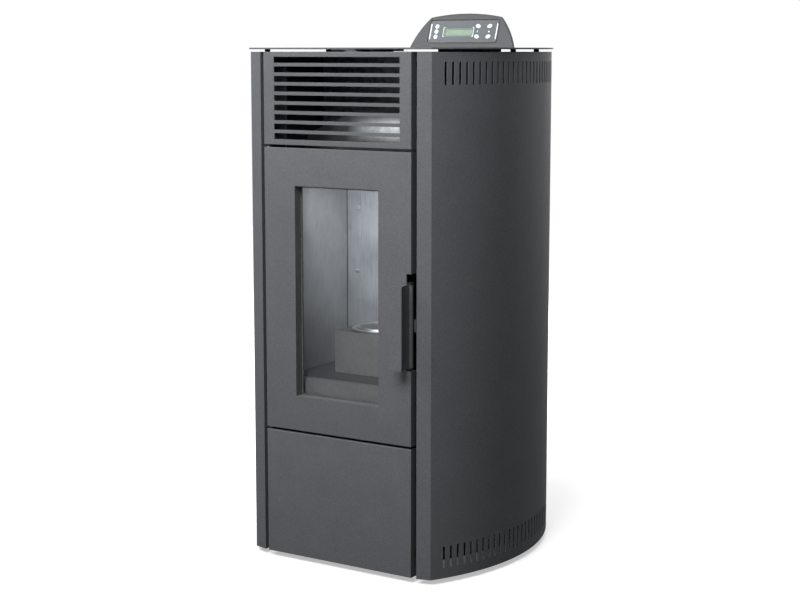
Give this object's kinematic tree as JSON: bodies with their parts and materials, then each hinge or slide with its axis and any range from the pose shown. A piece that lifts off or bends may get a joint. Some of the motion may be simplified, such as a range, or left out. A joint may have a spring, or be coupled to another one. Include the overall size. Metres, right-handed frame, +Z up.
{
  "type": "pellet stove",
  "caption": "Free-standing pellet stove with bowed sides, slotted grille, glazed fire door with lever handle, pellet lid and a leaning control panel on the top plate.",
  "frame": {"origin": "on the floor under the middle of the stove's bounding box, which is also the middle of the casing", "axes": "+Z up, -Y to the front with the fire door, +X to the right seen from the front"},
  "size_m": [0.5658, 0.574, 1.0861],
  "materials": {
    "powder_coat": "fine textured metallic anthracite powder coat",
    "black_paint": "heat-resistant black paint",
    "galvanised": "galvanised sheet",
    "firebox_steel": "brushed heat-resistant steel",
    "pot_steel": "machined and polished rim",
    "zinc_steel": "zinc-plated",
    "stove_glass": "clear glass ceramic",
    "fibre": "glass-fibre rope and tape",
    "console_plastic": "fine-textured grey moulding",
    "membrane": "satin printed film",
    "display": "green liquid-crystal window",
    "key_white": "white",
    "black_plastic": "black",
    "rubber": "black",
    "circuit_board": "green solder mask"
  },
  "bodies": {
    "root": {"base_pan": "galvanised", "levelling_feet": "zinc_steel", "left_side_panel": "powder_coat", "right_side_panel": "powder_coat", "rear_panel": "black_paint", "front_posts": "black_paint", "grille_panel": "powder_coat", "lower_panel": "powder_coat", "door_brackets": "black_paint", "pivot_pins": "zinc_steel", "firebox_shell": "black_paint", "side_liners": "firebox_steel", "back_liner": "firebox_steel", "hearth_floor": "firebox_steel", "ash_drawer": "firebox_steel", "pot_support": "firebox_steel", "hopper": "galvanised", "auger_tube": "galvanised", "auger_motor": "zinc_steel", "igniter": "zinc_steel", "smoke_fan_housing": "galvanised", "fan_motors": "black_paint", "smoke_duct": "galvanised", "flue_outlet": "black_paint", "air_intake": "galvanised", "room_fan_case": "galvanised", "air_baffle": "galvanised", "board_bracket": "galvanised", "control_board": "circuit_board", "pressure_switch": "black_plastic", "mains_inlet": "black_plastic", "safety_thermostat": "black_plastic", "top_cover": "black_paint", "top_spacers": "rubber", "top_plate": "powder_coat", "lid_seal": "fibre", "console_housing": "console_plastic", "console_membrane": "membrane", "display_window": "display", "screws": "zinc_steel"},
    "door": {"door_skin": "powder_coat", "door_glass": "stove_glass", "door_frame": "black_paint", "door_gaskets": "fibre", "handle_bracket": "black_paint", "handle_pin": "zinc_steel"},
    "handle": {"handle_lever": "powder_coat"},
    "lid": {"pellet_lid": "powder_coat"},
    "burn_pot": {"burn_pot": "pot_steel"},
    "auger": {"auger_screw": "zinc_steel"},
    "smoke_wheel": {"smoke_wheel": "zinc_steel"},
    "room_fan": {"room_fan_rotor": "zinc_steel"},
    "rocker": {"power_rocker": "black_plastic"},
    "key_display": {"key_display": "key_white"},
    "key_mode": {"key_mode": "key_white"},
    "key_set": {"key_set": "key_white"},
    "key_heat_up": {"key_heat_up": "key_white"},
    "key_heat_down": {"key_heat_down": "key_white"},
    "key_fan_up": {"key_fan_up": "key_white"},
    "key_fan_down": {"key_fan_down": "key_white"}
  },
  "joints": [
    {"name": "door_hinge", "type": "hinge", "parent": "root", "child": "door", "pos_m": [-0.162, -0.246, 0.5463], "axis": [0, 0, -1], "range_deg": [0, 110]},
    {"name": "handle_turn", "type": "hinge", "parent": "door", "child": "handle", "pos_m": [0.1615, -0.245, 0.4984], "axis": [0, 0, 1], "range_deg": [0, 25]},
    {"name": "lid_hinge", "type": "hinge", "parent": "root", "child": "lid", "pos_m": [-0.14, 0.11, 1.0145], "axis": [-1, 0, 0], "range_deg": [0, 85]},
    {"name": "burn_pot_lift", "type": "slide", "parent": "root", "child": "burn_pot", "axis": [0, 0, 1], "range_m": [0, 0.06]},
    {"name": "auger_spin", "type": "hinge", "parent": "root", "child": "auger", "pos_m": [0, 0.158, 0.398], "axis": [0, -0.7071, 0.7071], "continuous": true},
    {"name": "smoke_wheel_spin", "type": "hinge", "parent": "root", "child": "smoke_wheel", "pos_m": [0, 0.095, 0.153], "axis": [1, 0, 0], "continuous": true},
    {"name": "room_fan_spin", "type": "hinge", "parent": "root", "child": "room_fan", "pos_m": [0, -0.12, 0.11], "axis": [1, 0, 0], "continuous": true},
    {"name": "rocker_tilt", "type": "hinge", "parent": "root", "child": "rocker", "pos_m": [0.138, 0.246, 0.081], "axis": [1, 0, 0], "range_deg": [-7, 7]},
    {"name": "key_display_press", "type": "slide", "parent": "root", "child": "key_display", "axis": [0, 0.9397, -0.342], "range_m": [0, 0.0006], "stiffness_N_per_m": 300, "springref_m": -0.0005},
    {"name": "key_mode_press", "type": "slide", "parent": "root", "child": "key_mode", "axis": [0, 0.9397, -0.342], "range_m": [0, 0.0006], "stiffness_N_per_m": 300, "springref_m": -0.0005},
    {"name": "key_set_press", "type": "slide", "parent": "root", "child": "key_set", "axis": [0, 0.9397, -0.342], "range_m": [0, 0.0006], "stiffness_N_per_m": 300, "springref_m": -0.0005},
    {"name": "key_heat_up_press", "type": "slide", "parent": "root", "child": "key_heat_up", "axis": [0, 0.9397, -0.342], "range_m": [0, 0.0006], "stiffness_N_per_m": 300, "springref_m": -0.0005},
    {"name": "key_heat_down_press", "type": "slide", "parent": "root", "child": "key_heat_down", "axis": [0, 0.9397, -0.342], "range_m": [0, 0.0006], "stiffness_N_per_m": 300, "springref_m": -0.0005},
    {"name": "key_fan_up_press", "type": "slide", "parent": "root", "child": "key_fan_up", "axis": [0, 0.9397, -0.342], "range_m": [0, 0.0006], "stiffness_N_per_m": 300, "springref_m": -0.0005},
    {"name": "key_fan_down_press", "type": "slide", "parent": "root", "child": "key_fan_down", "axis": [0, 0.9397, -0.342], "range_m": [0, 0.0006], "stiffness_N_per_m": 300, "springref_m": -0.0005}
  ]
}
